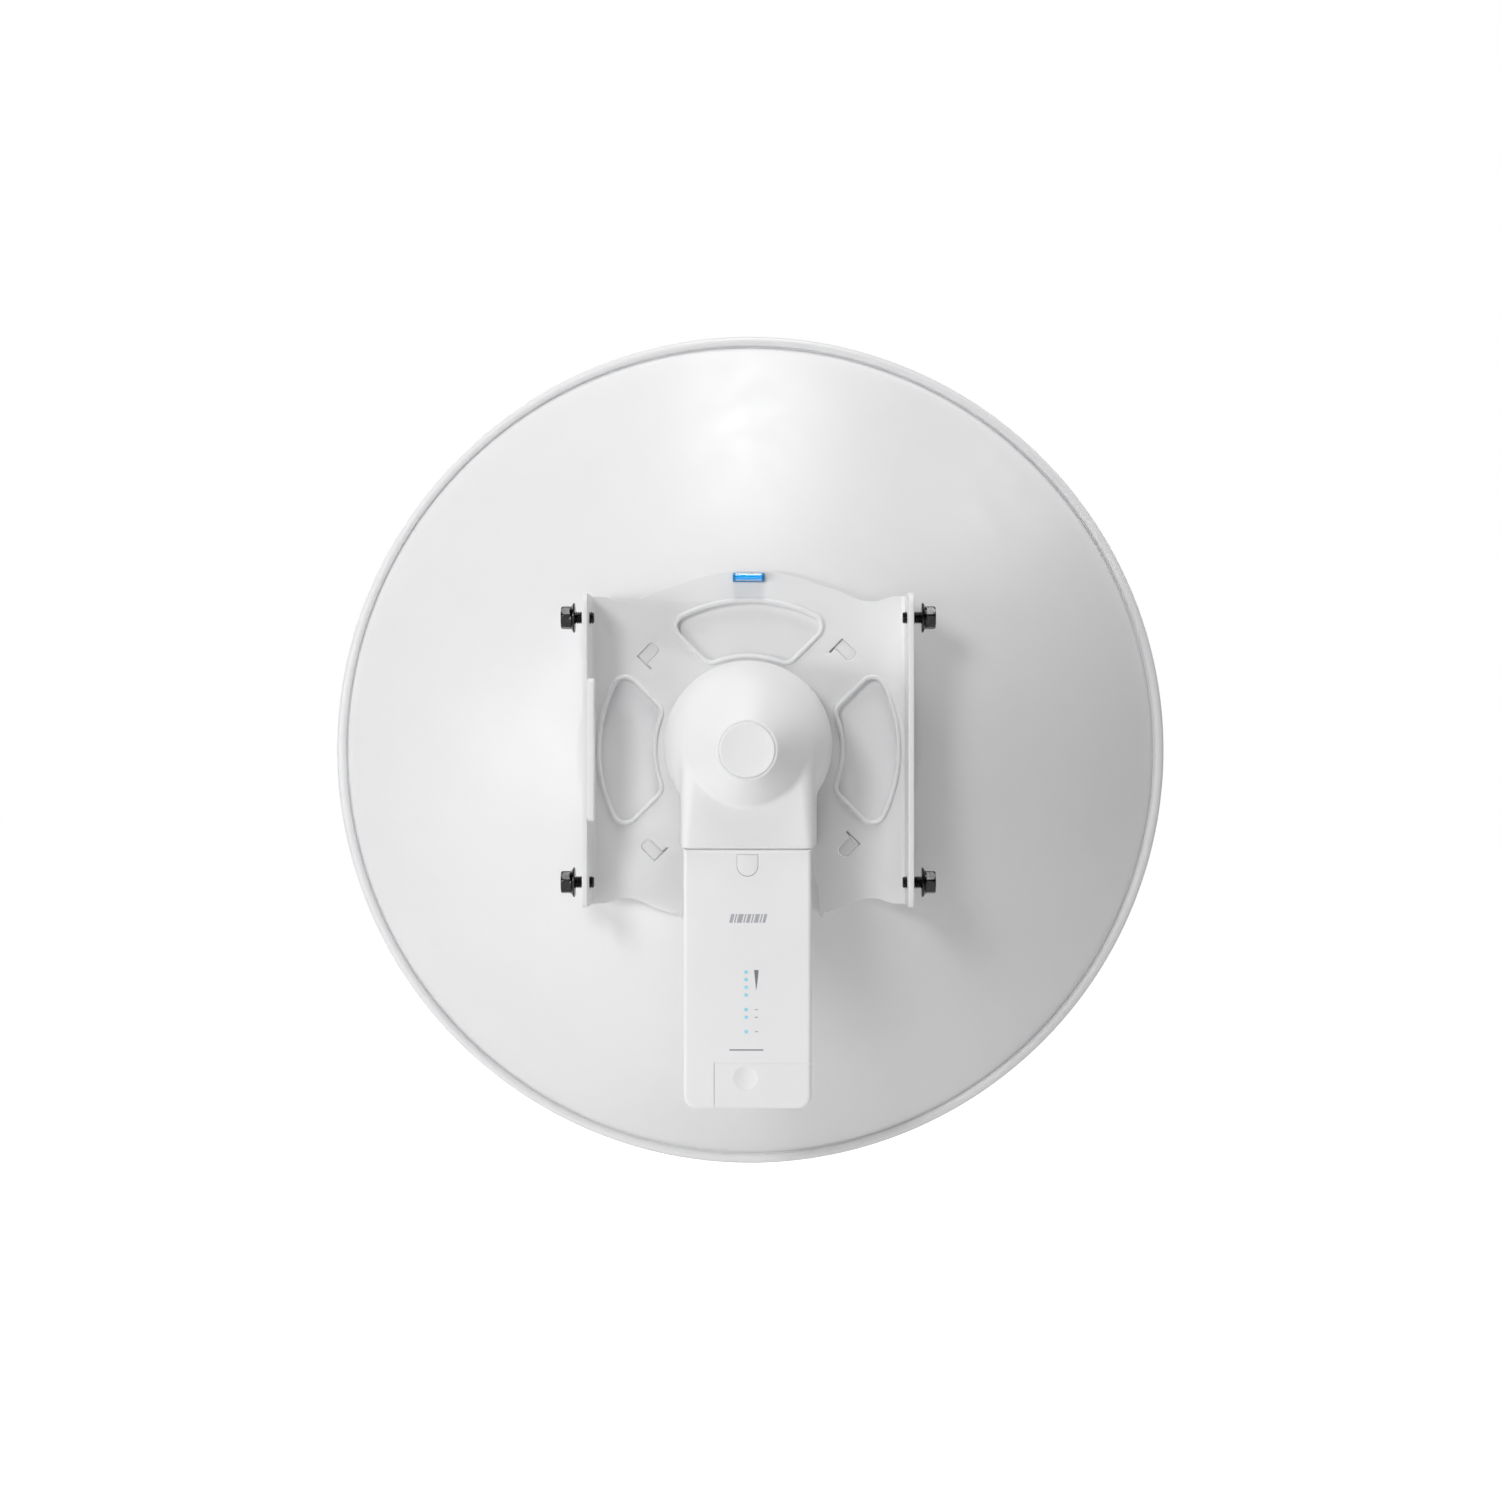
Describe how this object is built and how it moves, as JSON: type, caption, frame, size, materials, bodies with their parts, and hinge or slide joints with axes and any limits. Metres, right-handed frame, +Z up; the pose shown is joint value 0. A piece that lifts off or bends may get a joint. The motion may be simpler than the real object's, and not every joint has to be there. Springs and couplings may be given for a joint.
{
  "type": "outdoor wireless bridge",
  "caption": "Round dish point-to-point radio bridge with a rear dome housing, slide-in radio unit, front feed and a flanged steel bracket for a pole clamp.",
  "frame": {"origin": "on the boresight axis at the back face of the dish's flat seat, where the bracket plate bears", "axes": "+Y along the boresight, the way the dish looks; +Z up, with the radio unit hanging towards -Z; +X completes the frame"},
  "size_m": [0.42, 0.1807, 0.42],
  "materials": {
    "dish_coat": "fine-textured white powder coat",
    "bracket_coat": "white powder coat on stamped steel",
    "bolt_metal": "blackened steel, slightly oily",
    "screw_metal": "plain stainless",
    "housing_plastic": "satin UV-stable white",
    "radio_plastic": "satin UV-stable white",
    "cover_plastic": "satin white",
    "gasket_rubber": "dark grey silicone",
    "seal_rubber": "grey silicone",
    "waveguide_metal": "drawn, bare",
    "dielectric": "cross-linked polystyrene",
    "board_laminate": "solder-masked laminate",
    "tin_plate": "tinned sheet",
    "thermal_silicone": "soft filled silicone",
    "light_guide": "clear acrylic",
    "level_body": "deep blue",
    "level_clear": "clear acrylic",
    "level_liquid": "bright blue liquid",
    "brass_pin": "gold-plated brass",
    "black_plastic": "black",
    "spring_wire": "spring wire"
  },
  "bodies": {
    "dish_assembly": {"dish_reflector": "dish_coat", "mount_bracket": "bracket_coat", "level_holder": "level_body", "level_vial": "level_clear", "level_fluid": "level_liquid", "rear_housing": "housing_plastic", "dome_cap": "cover_plastic", "housing_gasket": "gasket_rubber", "housing_screws": "screw_metal", "feed_tube": "waveguide_metal", "waveguide_back_short": "waveguide_metal", "probe_block": "waveguide_metal", "probe_sockets": "brass_pin", "waveguide_probes": "brass_pin", "feed_flange": "waveguide_metal", "feed_seal": "seal_rubber", "feed_cover": "cover_plastic", "dielectric_cone": "dielectric", "subreflector": "waveguide_metal", "ground_screw": "screw_metal", "ground_washer": "screw_metal"},
    "radio_unit": {"radio_rear_case": "radio_plastic", "radio_front_case": "radio_plastic", "case_gasket": "gasket_rubber", "case_screws": "screw_metal", "main_board": "board_laminate", "radio_shield": "tin_plate", "power_shield": "tin_plate", "thermal_pad": "thermal_silicone", "heat_spreader": "waveguide_metal", "ethernet_jack": "tin_plate", "probe_plugs": "brass_pin", "led_light_pipes": "light_guide", "led_bar": "black_plastic", "latch_spring": "spring_wire", "reset_switch": "black_plastic", "cable_seal": "seal_rubber"},
    "release_latch": {"release_latch": "radio_plastic"},
    "port_cover": {"port_cover": "cover_plastic"},
    "reset_button": {"reset_button": "black_plastic"},
    "clamp_bolt_upper_left": {"clamp_bolt_upper_left": "bolt_metal"},
    "clamp_bolt_upper_right": {"clamp_bolt_upper_right": "bolt_metal"},
    "clamp_bolt_lower_left": {"clamp_bolt_lower_left": "bolt_metal"},
    "clamp_bolt_lower_right": {"clamp_bolt_lower_right": "bolt_metal"}
  },
  "joints": [
    {"name": "radio_slide", "type": "slide", "parent": "dish_assembly", "child": "radio_unit", "axis": [0, 0, -1], "range_m": [0, 0.025]},
    {"name": "latch_press", "type": "slide", "parent": "radio_unit", "child": "release_latch", "axis": [0, 1, 0], "range_m": [0, 0.0012], "stiffness_N_per_m": 1500, "springref_m": -0.0004, "deforming": ["latch_spring"]},
    {"name": "port_cover_slide", "type": "slide", "parent": "radio_unit", "child": "port_cover", "axis": [0, 0, -1], "range_m": [0, 0.022]},
    {"name": "reset_press", "type": "slide", "parent": "radio_unit", "child": "reset_button", "axis": [0, 0, 1], "range_m": [0, 0.0008], "stiffness_N_per_m": 900, "springref_m": -0.0003},
    {"name": "upper_left_bolt_travel", "type": "slide", "parent": "dish_assembly", "child": "clamp_bolt_upper_left", "axis": [1, 0, 0], "range_m": [0, 0.0043]},
    {"name": "lower_left_bolt_travel", "type": "slide", "parent": "dish_assembly", "child": "clamp_bolt_lower_left", "axis": [1, 0, 0], "range_m": [0, 0.0043]},
    {"name": "upper_right_bolt_travel", "type": "slide", "parent": "dish_assembly", "child": "clamp_bolt_upper_right", "axis": [-1, 0, 0], "range_m": [0, 0.0043]},
    {"name": "lower_right_bolt_travel", "type": "slide", "parent": "dish_assembly", "child": "clamp_bolt_lower_right", "axis": [-1, 0, 0], "range_m": [0, 0.0043]}
  ]
}
